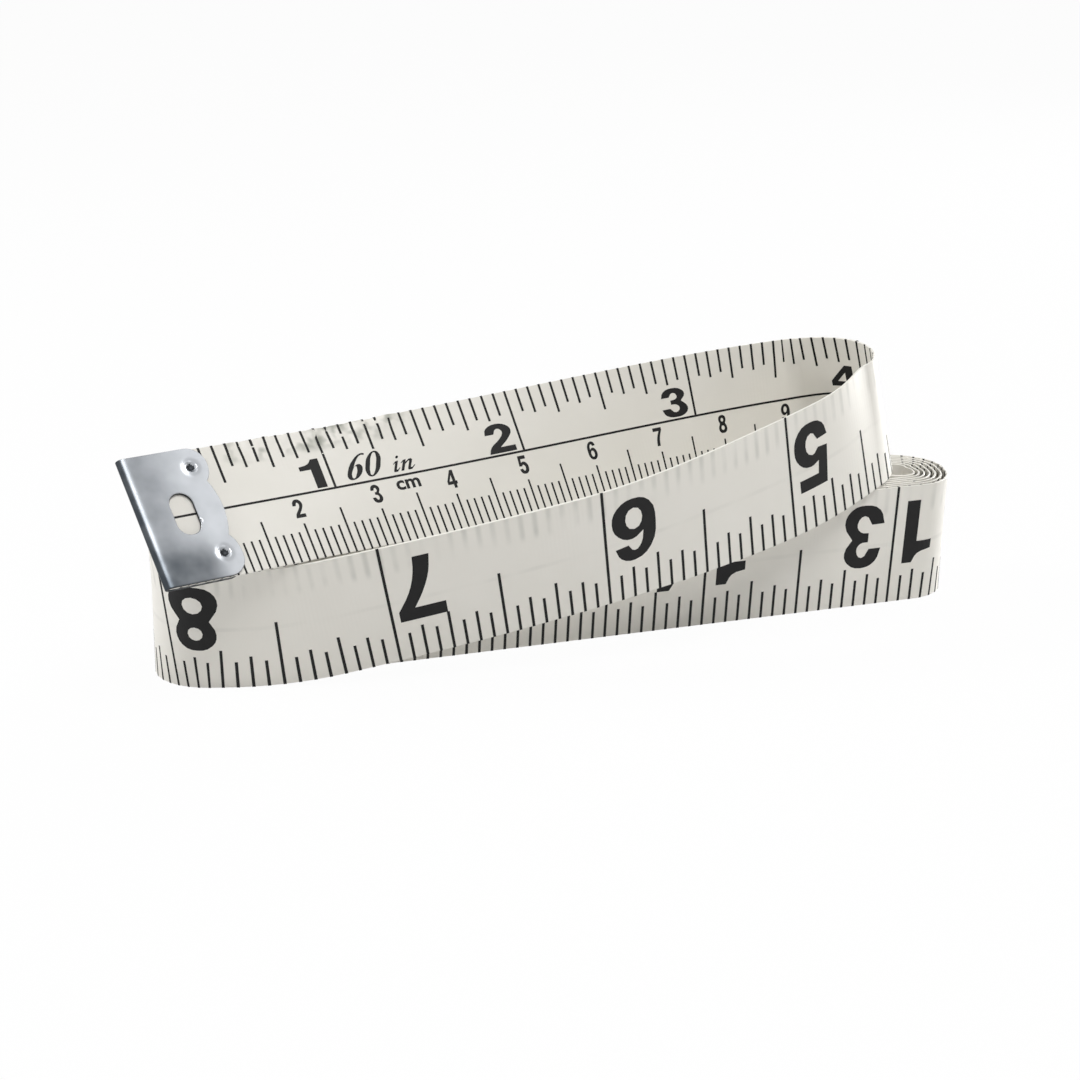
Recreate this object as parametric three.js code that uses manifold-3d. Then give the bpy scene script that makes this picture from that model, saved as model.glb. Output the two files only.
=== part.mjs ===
// Cloth tape measure: a coated ribbon with a folded metal tip clinched on each end, wound into a flat roll
// that stands on the ribbon's edge. The outermost turn and a half is lifted: it leaves the roll at a left
// fold, climbs along the front, bends back over the roll's right end, and its free end lies across the top.
// Lengths are millimetres, angles are degrees. +Z is up, +X runs along the roll and -Y faces the viewer.
import * as THREE from 'three';
import { mergeVertices } from 'three/addons/utils/BufferGeometryUtils.js';
import Module from 'manifold-3d';

// Ribbon
const TAPE_WIDTH = 15.5;
const TAPE_THICKNESS = 0.28;
const TAPE_LENGTH = 1524;

// Roll: half turns of shrinking radius about two centres, wound clockwise from the outside to the far end
const HALF_TURNS = 12;
const TURN_GAP = 0.48;
const CORE_RADIUS = 1.69;
const TAIL_LENGTH = 16;
const TAIL_INSET = 1;

// Left fold: how much looser and further out it is than the next turn inside it, where it starts, and the
// share of it after which the ribbon stands upright
const FOLD_SLACK = 0.17;
const FOLD_REACH = 1;
const FOLD_START = 18;
const FOLD_SETTLED = 0.5;

// Front run: the pull of its ends on the bow between them, and the share of it at which the ribbon leans out
// most. Its climb starts before the crossing and stops inside the bend, and is rounded at its foot and head.
const RUN_PULL_AT_FOLD = 28.6;
const RUN_PULL_AT_BEND = 24.4;
const RUN_MIDDLE = 0.56;
const CLIMB_EARLY = 9;
const CLIMB_LATE = 6.4;
const CLIMB_FOOT = 0.15;
const CLIMB_HEAD = 0.08;

// Right bend: its radius and its place over the roll
const BEND_RADIUS = 7.75;
const BEND_INSET = 9.8;
const BEND_FORWARD = 1.2;
const BEND_END = 60.5;
const BEND_RISE = 1.6;

// Lead: the free end, laid over the front run's upper edge at the crossing
const CROSSING = 8.45;
const LEAD_OVERHANG = 16.9;
const LEAD_BOW = 0.75;
const LEAD_BOW_POWER = 1.5;
const LEAD_TWIST_POWER = 2;
const REST_GAP = 0.3;

// Lean of the ribbon from upright, positive towards the inside of the turns
const LEAN_TIP = -40.6;
const LEAN_LEAD_END = -8.1;
const LEAN_BEND = 16;
const LEAN_BEND_END = 4.4;
const LEAN_RUN = -16.5;
const LEAN_FOLD = -15.6;

// Metal tips: one folded plate with two leaves, a slot and two staked dimples in the outer leaf
const TIP_LENGTH = 10.1;
const TIP_SHEET = 0.35;
const TIP_CLEARANCE = 0.1;
const TIP_OVERHANG = 0.05;
const TIP_CORNER = 2.2;
const TIP_NOTCH_DEPTH = 0.8;
const TIP_NOTCH_SPACING = 6.7;
const TIP_BULGE = 0.55;
const TIP_FEATURE_SHIFT = 0.2;
const SLOT_LENGTH = 5;
const SLOT_WIDTH = 2.8;
const SLOT_FROM_FOLD = 5.3;
const DIMPLE_DIAMETER = 1.9;
const DIMPLE_DEPTH = 0.22;
const DIMPLE_SPACING = 10.5;
const DIMPLE_FROM_FOLD = 8;

// Clear gap between neighbouring stretches of the ribbon
const SEAM_GAP = 0.3;

// Fineness: steps along each stretch, how closely the span is solved, and how close points are welded
const LEAD_STEPS = 30;
const BEND_STEPS = 24;
const RUN_STEPS = 44;
const FOLD_STEPS = 24;
const TURN_STEPS = 16;
const ROUND_STEPS = 24;
const SPAN_TOLERANCE = 1e-6;
const WELD = 1e-5;

// Sizes that follow from the ones above
const PITCH = TAPE_THICKNESS + TURN_GAP;
const ROLL_RADIUS = CORE_RADIUS + HALF_TURNS * PITCH / 2;
const FOLD_RADIUS = ROLL_RADIUS + PITCH / 2 + FOLD_SLACK;

const rad = THREE.MathUtils.degToRad;
const mix = THREE.MathUtils.lerp;
const ease = (u) => THREE.MathUtils.smoothstep(u, 0, 1);
const hump = (u) => 4 * u * (1 - u);

// A rise from 0 to 1 at a steady slope, rounded over a share of its length at its foot and its head.
function ramp(u, foot, head) {
  const v = THREE.MathUtils.clamp(u, 0, 1);
  const slope = 1 / (1 - (foot + head) / 2);
  if (v < foot) return slope * v * v / (2 * foot);
  if (v > 1 - head) return 1 - slope * (1 - v) ** 2 / (2 * head);
  return slope * (v - foot / 2);
}

const onCircle = (centre, radius, degrees) => new THREE.Vector2(
  centre.x + radius * Math.cos(rad(degrees)),
  centre.y + radius * Math.sin(rad(degrees)),
);

// Heading of clockwise travel at an angle on a circle.
const heading = (degrees) => new THREE.Vector2(Math.sin(rad(degrees)), -Math.cos(rad(degrees)));

const rightOf = (direction) => new THREE.Vector2(direction.y, -direction.x);

// A place on the ribbon's lower edge, set so that its lowest corner is at the height however it leans.
function station(plan, height, lean) {
  const lift = TAPE_THICKNESS / 2 * Math.abs(Math.sin(rad(lean)));
  return { foot: new THREE.Vector3(plan.x, plan.y, height + lift), lean };
}

// Clockwise arc of stations with a height and a lean given along it.
function arcStations(centre, radius, from, to, steps, height, lean) {
  return Array.from({ length: steps + 1 }, (_, i) => {
    const u = i / steps;
    return station(onCircle(centre, radius, mix(from, to, u)), height(u), lean(u));
  });
}

const flat = () => 0;

// Plan of the front run, from the bend to the fold.
function frontRunPlan(fold, bend) {
  const start = onCircle(bend, BEND_RADIUS, -BEND_END);
  const end = onCircle(fold, FOLD_RADIUS, 270 - FOLD_START);
  return new THREE.CubicBezierCurve(
    start,
    start.clone().addScaledVector(heading(-BEND_END), RUN_PULL_AT_BEND),
    end.clone().addScaledVector(heading(270 - FOLD_START), -RUN_PULL_AT_FOLD),
    end,
  );
}

// The front run with its crossing, where the lead lies on its upper edge, and its climb along the ribbon.
function frontRun(fold, bend) {
  const curve = frontRunPlan(fold, bend);
  const points = curve.getPoints(RUN_STEPS);
  const travelled = [0];
  for (let i = 1; i < points.length; i += 1) {
    travelled.push(travelled[i - 1] + points[i].distanceTo(points[i - 1]));
  }
  const length = travelled.at(-1);
  const crossingX = fold.x + CROSSING;
  const after = points.findIndex((point) => point.x < crossingX);
  const share = (points[after - 1].x - crossingX) / (points[after - 1].x - points[after].x);
  const toCrossing = mix(travelled[after - 1], travelled[after], share);
  const climb = CLIMB_LATE + toCrossing + CLIMB_EARLY;
  const middle = toCrossing * RUN_MIDDLE;
  const leanAt = (along) => (along < middle
    ? mix(LEAN_BEND_END, LEAN_RUN, ease(along / middle))
    : mix(LEAN_RUN, LEAN_FOLD, ease((along - middle) / (length - middle))));
  const tangent = points[after].clone().sub(points[after - 1]).normalize();
  const crossing = points[after - 1].clone().lerp(points[after], share);
  const outwards = TAPE_WIDTH * Math.sin(rad(leanAt(toCrossing)));
  crossing.addScaledVector(rightOf(tangent), outwards + TAPE_THICKNESS);
  const climbed = (along) => ramp(1 - (along + CLIMB_LATE) / climb, CLIMB_FOOT, CLIMB_HEAD);
  return {
    crossing,
    climbed,
    stations: (top) => points.map((point, i) => station(
      point, top * climbed(travelled[i]), leanAt(travelled[i]),
    )),
  };
}

// The lead's plan: from its end, held straight by the tip, over the crossing to where it meets the bend.
function leadStations(bend, crossing, top) {
  const toCrossing = crossing.clone().sub(bend);
  const towards = Math.atan2(toCrossing.y, toCrossing.x) - Math.acos(BEND_RADIUS / toCrossing.length());
  const meets = THREE.MathUtils.euclideanModulo(THREE.MathUtils.radToDeg(towards), 360);
  const end = onCircle(bend, BEND_RADIUS, meets);
  const direction = end.clone().sub(crossing).normalize();
  const start = crossing.clone().addScaledVector(direction, -LEAD_OVERHANG);
  const length = end.distanceTo(start);
  const held = TIP_LENGTH / length;
  const stations = Array.from({ length: LEAD_STEPS + 1 }, (_, i) => {
    const u = i / LEAD_STEPS;
    const free = Math.max(0, (u - held) / (1 - held));
    const point = start.clone().lerp(end, u);
    point.addScaledVector(rightOf(direction), LEAD_BOW * hump(free) ** LEAD_BOW_POWER);
    return station(point, top, mix(LEAN_TIP, LEAN_LEAD_END, free ** LEAD_TWIST_POWER));
  });
  return { stations, meets };
}

// The roll: the back run, then half turns alternately about the right and the left centre, then the tail.
function rollStations(span) {
  const right = new THREE.Vector2(span / 2, 0);
  const left = new THREE.Vector2(-span / 2, -PITCH / 2);
  const stations = [station(new THREE.Vector2(-span / 2 - FOLD_REACH, ROLL_RADIUS), 0, 0)];
  let radius = ROLL_RADIUS;
  for (let turn = 0; turn <= HALF_TURNS; turn += 1) {
    const onRight = turn % 2 === 0;
    const from = onRight ? 90 : 270;
    stations.push(...arcStations(onRight ? right : left, radius, from, from - 180, TURN_STEPS, flat, flat));
    radius -= PITCH / 2;
  }
  const last = stations.at(-1).foot;
  const way = HALF_TURNS % 2 === 0 ? -1 : 1;
  const straight = TAIL_LENGTH - TIP_LENGTH;
  for (let i = 1; i <= TURN_STEPS; i += 1) {
    const u = i / TURN_STEPS;
    const plan = new THREE.Vector2(last.x + way * straight * u, last.y - way * TAIL_INSET * ease(u));
    stations.push(station(plan, TIP_OVERHANG * ease(u), 0));
  }
  const end = new THREE.Vector2(last.x + way * TAIL_LENGTH, last.y - way * TAIL_INSET);
  stations.push(station(end, TIP_OVERHANG, 0));
  return stations;
}

// Directions at every station: along the ribbon, across it from its lower edge, and out of its inner side.
function addFrames(stations) {
  const up = new THREE.Vector3(0, 0, 1);
  stations.forEach((here, i) => {
    const before = stations[Math.max(i - 1, 0)].foot;
    const next = stations[Math.min(i + 1, stations.length - 1)].foot;
    here.along = next.clone().sub(before).normalize();
    const inward = here.along.clone().cross(up).normalize();
    const upright = inward.clone().cross(here.along);
    here.across = upright.multiplyScalar(Math.cos(rad(here.lean)));
    here.across.addScaledVector(inward, Math.sin(rad(here.lean)));
    here.inner = here.along.clone().cross(here.across);
    here.middle = here.foot.clone().addScaledVector(here.across, TAPE_WIDTH / 2);
  });
  return stations;
}

// The whole ribbon for one distance between the roll's centres, in its stretches from the zero end on.
function windTape(span) {
  const fold = new THREE.Vector2(-span / 2 - FOLD_REACH, ROLL_RADIUS - FOLD_RADIUS);
  const bend = new THREE.Vector2(span / 2 - BEND_INSET, -BEND_FORWARD);
  const run = frontRun(fold, bend);
  const top = TAPE_WIDTH + REST_GAP;
  const lead = leadStations(bend, run.crossing, top);
  const bendLength = BEND_RADIUS * rad(lead.meets + BEND_END);
  const stretches = {
    tape_lead: lead.stations,
    tape_right_bend: arcStations(
      bend, BEND_RADIUS, lead.meets, -BEND_END, BEND_STEPS,
      (u) => top * run.climbed((u - 1) * bendLength) + BEND_RISE * Math.sin(Math.PI * u) ** 2,
      (u) => (u < 0.5
        ? mix(LEAN_LEAD_END, LEAN_BEND, ease(2 * u))
        : mix(LEAN_BEND, LEAN_BEND_END, ease(2 * u - 1))),
    ),
    tape_front_run: run.stations(top),
    tape_left_fold: arcStations(
      fold, FOLD_RADIUS, 270 - FOLD_START, 90, FOLD_STEPS, flat,
      (u) => mix(LEAN_FOLD, 0, ease(u / FOLD_SETTLED)),
    ),
    tape_roll: rollStations(span),
  };
  const path = [];
  const ranges = {};
  for (const [name, stations] of Object.entries(stretches)) {
    const first = Math.max(path.length - 1, 0);
    path.push(...(path.length ? stations.slice(1) : stations));
    ranges[name] = [first, path.length];
  }
  addFrames(path);
  let length = 0;
  for (let i = 1; i < path.length; i += 1) length += path[i].middle.distanceTo(path[i - 1].middle);
  return { path, ranges, length };
}

// The distance between the roll's centres that uses up the whole length of the ribbon.
function spanForLength() {
  let low = BEND_INSET + CROSSING;
  let high = TAPE_LENGTH / HALF_TURNS;
  while (high - low > SPAN_TOLERANCE) {
    const span = (low + high) / 2;
    if (windTape(span).length < TAPE_LENGTH) low = span;
    else high = span;
  }
  return (low + high) / 2;
}

// Closed solid of a stretch: a thin rectangle carried from station to station, capped at both ends.
function ribbonGeometry(stations) {
  const positions = [];
  const half = TAPE_THICKNESS / 2;
  stations.forEach(({ foot, across, inner, along }, i) => {
    const trim = (i === 0 ? 1 : 0) - (i === stations.length - 1 ? 1 : 0);
    const lower = foot.clone().addScaledVector(along, trim * SEAM_GAP / 2);
    const upper = lower.clone().addScaledVector(across, TAPE_WIDTH);
    for (const [edge, side] of [[lower, -half], [lower, half], [upper, half], [upper, -half]]) {
      positions.push(...edge.clone().addScaledVector(inner, side).toArray());
    }
  });
  const index = [0, 1, 2, 0, 2, 3];
  for (let i = 0; i < stations.length - 1; i += 1) {
    for (let corner = 0; corner < 4; corner += 1) {
      const a = 4 * i + corner;
      const b = 4 * i + (corner + 1) % 4;
      index.push(a, a + 4, b + 4, a, b + 4, b);
    }
  }
  const end = 4 * (stations.length - 1);
  index.push(end, end + 2, end + 1, end, end + 3, end + 2);
  const geometry = new THREE.BufferGeometry();
  geometry.setAttribute('position', new THREE.Float32BufferAttribute(positions, 3));
  geometry.setIndex(index);
  return geometry;
}

// Least clear gap between the turns of the roll, measured from every station to every other stretch.
function leastTurnGap(stations) {
  const travelled = [0];
  for (let i = 1; i < stations.length; i += 1) {
    travelled.push(travelled[i - 1] + stations[i].foot.distanceTo(stations[i - 1].foot));
  }
  const segment = new THREE.Line3();
  const nearest = new THREE.Vector3();
  let least = Infinity;
  stations.forEach(({ foot }, i) => {
    for (let j = 0; j < stations.length - 1; j += 1) {
      const ahead = Math.abs(travelled[j] - travelled[i]);
      const behind = Math.abs(travelled[j + 1] - travelled[i]);
      const neighbours = i > j - 2 && i < j + 3;
      if (neighbours || Math.min(ahead, behind) < Math.PI * CORE_RADIUS) continue;
      segment.set(stations[j].foot, stations[j + 1].foot).closestPointToPoint(foot, true, nearest);
      least = Math.min(least, nearest.distanceTo(foot) - TAPE_THICKNESS);
    }
  });
  return least;
}

const wasm = await Module();
wasm.setup();

function toSolid(geometry) {
  const bare = geometry.clone();
  for (const name of ['normal', 'uv']) bare.deleteAttribute(name);
  const merged = mergeVertices(bare, WELD);
  return new wasm.Manifold(new wasm.Mesh({
    numProp: 3,
    vertProperties: new Float32Array(merged.attributes.position.array),
    triVerts: new Uint32Array(merged.index.array),
  }));
}

function toGeometry(solid) {
  const mesh = solid.getMesh();
  const geometry = new THREE.BufferGeometry();
  geometry.setAttribute('position', new THREE.BufferAttribute(new Float32Array(mesh.vertProperties), 3));
  geometry.setIndex(new THREE.BufferAttribute(new Uint32Array(mesh.triVerts), 1));
  return geometry;
}

// A tip in its own frame: X from the ribbon's end inwards, Y across the ribbon, Z out of the slotted leaf.
function tipGeometry() {
  const inside = TAPE_THICKNESS / 2 + TIP_CLEARANCE;
  const outside = inside + TIP_SHEET;
  const height = TAPE_WIDTH + 2 * TIP_OVERHANG;
  const foldAt = inside - TIP_CLEARANCE;
  const edgeAt = foldAt - outside + TIP_LENGTH;
  const fromFold = (distance) => foldAt - outside + distance;
  const deep = { depth: 4 * outside, bevelEnabled: false, curveSegments: ROUND_STEPS };

  const hairpin = new THREE.Shape();
  hairpin.moveTo(edgeAt + TIP_BULGE, outside);
  hairpin.lineTo(foldAt, outside);
  hairpin.absarc(foldAt, 0, outside, Math.PI / 2, 1.5 * Math.PI, false);
  hairpin.lineTo(edgeAt + TIP_BULGE, -outside);
  hairpin.lineTo(edgeAt + TIP_BULGE, -inside);
  hairpin.lineTo(foldAt, -inside);
  hairpin.absarc(foldAt, 0, inside, 1.5 * Math.PI, Math.PI / 2, true);
  hairpin.lineTo(edgeAt + TIP_BULGE, inside);
  const folded = new THREE.ExtrudeGeometry(hairpin, {
    depth: height, bevelEnabled: false, curveSegments: ROUND_STEPS / 2,
  });
  folded.rotateX(Math.PI / 2);
  folded.translate(0, height / 2, 0);

  // Leaf outline: round outer corners, and two notches that part the edge into a lobe, a bulge and a lobe
  const half = height / 2;
  const notch = edgeAt - TIP_NOTCH_DEPTH;
  const upper = TIP_FEATURE_SHIFT + TIP_NOTCH_SPACING / 2;
  const lower = TIP_FEATURE_SHIFT - TIP_NOTCH_SPACING / 2;
  const leaf = new THREE.Shape();
  leaf.moveTo(foldAt - 2 * outside, -half);
  leaf.lineTo(edgeAt - TIP_CORNER, -half);
  leaf.absarc(edgeAt - TIP_CORNER, TIP_CORNER - half, TIP_CORNER, -Math.PI / 2, 0, false);
  leaf.quadraticCurveTo(edgeAt, lower - TIP_NOTCH_DEPTH, notch, lower);
  leaf.quadraticCurveTo(edgeAt + TIP_BULGE, TIP_FEATURE_SHIFT, notch, upper);
  leaf.quadraticCurveTo(edgeAt, upper + TIP_NOTCH_DEPTH, edgeAt, half - TIP_CORNER);
  leaf.absarc(edgeAt - TIP_CORNER, half - TIP_CORNER, TIP_CORNER, 0, Math.PI / 2, false);
  leaf.lineTo(foldAt - 2 * outside, half);
  const outline = new THREE.ExtrudeGeometry(leaf, deep);
  outline.translate(0, 0, -2 * outside);

  // Slot with round ends, through the outer leaf only
  const slotAt = fromFold(SLOT_FROM_FOLD);
  const slotReach = (SLOT_LENGTH - SLOT_WIDTH) / 2;
  const slot = new THREE.Shape();
  slot.absarc(slotAt, TIP_FEATURE_SHIFT + slotReach, SLOT_WIDTH / 2, 0, Math.PI, false);
  slot.absarc(slotAt, TIP_FEATURE_SHIFT - slotReach, SLOT_WIDTH / 2, Math.PI, 2 * Math.PI, false);
  const window = new THREE.ExtrudeGeometry(slot, deep);

  // Staked dimples: shallow craters in the outer leaf, with a floor half as wide as the mouth
  const mouth = DIMPLE_DIAMETER / 2;
  const floor = mouth / 2;
  const crater = new THREE.CylinderGeometry(2 * mouth - floor, floor, 2 * DIMPLE_DEPTH, ROUND_STEPS);
  crater.rotateX(Math.PI / 2);
  const dimple = (y) => toSolid(crater.clone().translate(fromFold(DIMPLE_FROM_FOLD), y, outside));

  return toGeometry(
    toSolid(folded)
      .intersect(toSolid(outline))
      .subtract(toSolid(window))
      .subtract(dimple(TIP_FEATURE_SHIFT + DIMPLE_SPACING / 2))
      .subtract(dimple(TIP_FEATURE_SHIFT - DIMPLE_SPACING / 2)),
  );
}

const tapeMaterial = () => new THREE.MeshStandardMaterial({ color: 0xece9e1, roughness: 0.45 });
const steelMaterial = () => new THREE.MeshStandardMaterial({
  color: 0x9ea3ab, roughness: 0.35, metalness: 1,
});

function named(name, geometry, material) {
  geometry.computeVertexNormals();
  const mesh = new THREE.Mesh(geometry, material);
  mesh.name = name;
  return mesh;
}

// A tip on the ribbon's end, its X axis pointing along the ribbon away from that end.
function tipOn(name, end, inwards) {
  const mesh = named(name, tipGeometry(), steelMaterial());
  const along = end.along.clone().multiplyScalar(inwards);
  const out = along.clone().cross(end.across);
  mesh.quaternion.setFromRotationMatrix(new THREE.Matrix4().makeBasis(along, end.across, out));
  mesh.position.copy(end.middle).addScaledVector(along, SEAM_GAP / 2);
  return mesh;
}

const tape = windTape(spanForLength());
const measure = new THREE.Group();
for (const [name, [first, last]] of Object.entries(tape.ranges)) {
  measure.add(named(name, ribbonGeometry(tape.path.slice(first, last)), tapeMaterial()));
}
measure.add(tipOn('zero_end_tip', tape.path[0], 1));
measure.add(tipOn('far_end_tip', tape.path.at(-1), -1));

const gap = leastTurnGap(tape.path.slice(...tape.ranges.tape_roll));
console.log(`least gap between the turns of the roll: ${gap.toFixed(3)} mm`);

// The origin is under the middle of the whole object, on the surface that it stands on.
measure.updateMatrixWorld(true);
const middle = new THREE.Box3().setFromObject(measure, true).getCenter(new THREE.Vector3());
measure.position.set(-middle.x, -middle.y, 0);

export default measure;
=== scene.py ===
import bisect
import math

import bmesh
import bpy
from mathutils import Matrix, Vector, noise


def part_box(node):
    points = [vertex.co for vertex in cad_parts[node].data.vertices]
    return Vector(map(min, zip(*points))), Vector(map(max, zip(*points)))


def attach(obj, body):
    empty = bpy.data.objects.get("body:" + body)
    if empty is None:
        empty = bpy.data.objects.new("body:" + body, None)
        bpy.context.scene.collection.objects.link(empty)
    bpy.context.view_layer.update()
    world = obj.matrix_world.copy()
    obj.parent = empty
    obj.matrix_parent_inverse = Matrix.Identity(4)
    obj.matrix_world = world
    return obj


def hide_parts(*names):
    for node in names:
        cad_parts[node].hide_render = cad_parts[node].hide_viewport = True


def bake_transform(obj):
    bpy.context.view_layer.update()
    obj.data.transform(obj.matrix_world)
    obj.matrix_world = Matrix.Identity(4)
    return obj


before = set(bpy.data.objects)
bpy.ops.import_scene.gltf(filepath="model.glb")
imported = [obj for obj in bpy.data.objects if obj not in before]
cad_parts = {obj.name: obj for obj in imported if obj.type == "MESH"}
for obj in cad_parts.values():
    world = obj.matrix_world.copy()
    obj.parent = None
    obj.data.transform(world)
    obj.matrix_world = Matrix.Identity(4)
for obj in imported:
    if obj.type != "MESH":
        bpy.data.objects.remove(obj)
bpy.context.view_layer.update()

# Lengths below are millimetres, as on the drawing of the part; MM turns them to metres
MM = 0.001
INCH = 25.4

# Ribbon: coated cloth, wound clockwise from the zero end at the tip to the far end inside the roll
TAPE_WIDTH = 15.5
TAPE_THICKNESS = 0.28
HALF_TURNS = 12
PITCH = 0.76
ROLL_RADIUS = 6.25
TAIL_LENGTH = 16
TAIL_INSET = 1
TIP_LENGTH = 10.1
TIP_OVERHANG = 0.05

# Left fold, front run, right bend and lead, as in the part
FOLD_RADIUS = 6.8
FOLD_REACH = 1
FOLD_START = 18
FOLD_SETTLED = 0.5
RUN_PULL_AT_FOLD = 28.6
RUN_PULL_AT_BEND = 24.4
RUN_MIDDLE = 0.56
CLIMB_EARLY = 9
CLIMB_LATE = 6.4
CLIMB_FOOT = 0.15
CLIMB_HEAD = 0.08
BEND_RADIUS = 7.75
BEND_INSET = 9.8
BEND_FORWARD = 1.2
BEND_END = 60.5
BEND_RISE = 1.6
CROSSING = 8.45
LEAD_OVERHANG = 16.9
LEAD_BOW = 0.75
LEAD_BOW_POWER = 1.5
LEAD_TWIST_POWER = 2
REST_GAP = 0.3
LEAN_TIP = -40.6
LEAN_LEAD_END = -8.1
LEAN_BEND = 16
LEAN_BEND_END = 4.4
LEAN_RUN = -16.5
LEAN_FOLD = -15.6
# Finer than the part: the front of the wound turns tips out at its top, and at the bend's end the ribbon springs up,
# tucks in and then tips out
LEAN_ROLL = -7
LEAN_ROLL_SHARE = 0.42
SPRING_LIFT = 0.62
SPRING_AT = 0.5
SPRING_REACH = 8.3
TUCK_LEAN = 1.9
TUCK_AT = -4
TUCK_REACH = 5
SAG_LEAN = -4.5
SAG_AT = 7

# Soft cloth: slow waves, and crinkles on the upper edge of the handled end. Each has its height, its waves per
# millimetre along and across the ribbon, and a layer of the noise
WAVE = (0.07, 0.05, 0.09, 3.1)
CRINKLES = ((0.36, 0.4, 0.25, 7.7), (0.22, 0.95, 0.6, 1.3))
CRINKLE_BAND = 3.6
WAVE_FADE = 8
HANDLED_FROM = 11
HANDLED_FULL = 14
HANDLED_LAST = 32
HANDLED_END = 37

# Steps along each stretch and across the ribbon, and for the direction that it faces
LEAD_STEPS = 250
BEND_STEPS = 90
RUN_STEPS = 250
FOLD_STEPS = 80
TURN_STEPS = 32
ACROSS_STEPS = 24
FACING_STEP = 0.25
EDGE_CHAMFER = 0.05

# Print: the printed zero lies a little outside the ribbon's cut end
PRINT_START = 1.5
INK_PROUD = 0.014
INK_SUNK = 0.02
EDGE_INK = 0.09
DIVIDER = 0.51


def ease(u):
    u = min(max(u, 0), 1)
    return u * u * (3 - 2 * u)


def mix(a, b, u):
    return a + (b - a) * u


def ramp(u, foot, head):
    """A rise from 0 to 1 at a steady slope, rounded over a share of its length at its foot and its head."""
    v = min(max(u, 0), 1)
    slope = 1 / (1 - (foot + head) / 2)
    if v < foot:
        return slope * v * v / (2 * foot)
    if v > 1 - head:
        return 1 - slope * (1 - v) ** 2 / (2 * head)
    return slope * (v - foot / 2)


def on_circle(centre, radius, degrees):
    turn = math.radians(degrees)
    return Vector((centre.x + radius * math.cos(turn), centre.y + radius * math.sin(turn)))


def heading(degrees):
    """Heading of clockwise travel at an angle on a circle."""
    turn = math.radians(degrees)
    return Vector((math.sin(turn), -math.cos(turn)))


def right_of(direction):
    return Vector((direction.y, -direction.x))


def station(plan, height, lean):
    """A place on the ribbon's lower edge: its foot and its lean from upright in degrees."""
    lift = TAPE_THICKNESS / 2 * abs(math.sin(math.radians(lean)))
    return Vector((plan.x, plan.y, height + lift)), lean


def arc_stations(centre, radius, start, end, steps, height, lean):
    shares = [i / steps for i in range(steps + 1)]
    return [station(on_circle(centre, radius, mix(start, end, u)), height(u), lean(u)) for u in shares]


def finer_lean(past):
    """Lean in degrees that the bend's end adds, at a distance past it."""
    tuck = TUCK_LEAN * math.exp(-(((past - TUCK_AT) / TUCK_REACH) ** 2))
    reach = max(past, 0) / SAG_AT
    return tuck + SAG_LEAN * (reach * math.exp(1 - reach)) ** 2


def front_run(fold, bend, top):
    """Stations of the front run from the bend to the fold, the crossing where the lead lies on it, and its climb."""
    start = on_circle(bend, BEND_RADIUS, -BEND_END)
    end = on_circle(fold, FOLD_RADIUS, 270 - FOLD_START)
    pull_start = start + heading(-BEND_END) * RUN_PULL_AT_BEND
    pull_end = end - heading(270 - FOLD_START) * RUN_PULL_AT_FOLD
    points = []
    for i in range(RUN_STEPS + 1):
        u = i / RUN_STEPS
        w = 1 - u
        points.append(start * w**3 + pull_start * (3 * w * w * u) + pull_end * (3 * w * u * u) + end * u**3)
    travelled = [0.0]
    for before, here in zip(points, points[1:]):
        travelled.append(travelled[-1] + (here - before).length)
    crossing_x = fold.x + CROSSING
    after = next(i for i, point in enumerate(points) if point.x < crossing_x)
    share = (points[after - 1].x - crossing_x) / (points[after - 1].x - points[after].x)
    to_crossing = mix(travelled[after - 1], travelled[after], share)
    climb = CLIMB_LATE + to_crossing + CLIMB_EARLY
    middle = to_crossing * RUN_MIDDLE

    def lean_at(past):
        if past < middle:
            return mix(LEAN_BEND_END, LEAN_RUN, ease(past / middle)) + finer_lean(past)
        return mix(LEAN_RUN, LEAN_FOLD, ease((past - middle) / (travelled[-1] - middle))) + finer_lean(past)

    tangent = (points[after] - points[after - 1]).normalized()
    crossing = points[after - 1].lerp(points[after], share)
    outwards = TAPE_WIDTH * math.sin(math.radians(lean_at(to_crossing)))
    crossing += right_of(tangent) * (outwards + TAPE_THICKNESS)

    def climbed(past):
        sprung = SPRING_LIFT * math.exp(-(((past - SPRING_AT) / SPRING_REACH) ** 2))
        return top * ramp(1 - (past + CLIMB_LATE) / climb, CLIMB_FOOT, CLIMB_HEAD) + sprung

    stations = [station(point, climbed(past), lean_at(past)) for point, past in zip(points, travelled)]
    return stations, crossing, climbed


def lead_stations(bend, crossing, top):
    """Stations of the lead from the zero end to the bend, and the angle at which it meets the bend."""
    to_crossing = crossing - bend
    towards = math.atan2(to_crossing.y, to_crossing.x) - math.acos(BEND_RADIUS / to_crossing.length)
    meets = math.degrees(towards) % 360
    end = on_circle(bend, BEND_RADIUS, meets)
    direction = (end - crossing).normalized()
    start = crossing - direction * LEAD_OVERHANG
    held = TIP_LENGTH / (end - start).length
    stations = []
    for i in range(LEAD_STEPS + 1):
        u = i / LEAD_STEPS
        free = max(0, (u - held) / (1 - held))
        point = start.lerp(end, u) + right_of(direction) * LEAD_BOW * (4 * free * (1 - free)) ** LEAD_BOW_POWER
        stations.append(station(point, top, mix(LEAN_TIP, LEAN_LEAD_END, free**LEAD_TWIST_POWER)))
    return stations, meets


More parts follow.
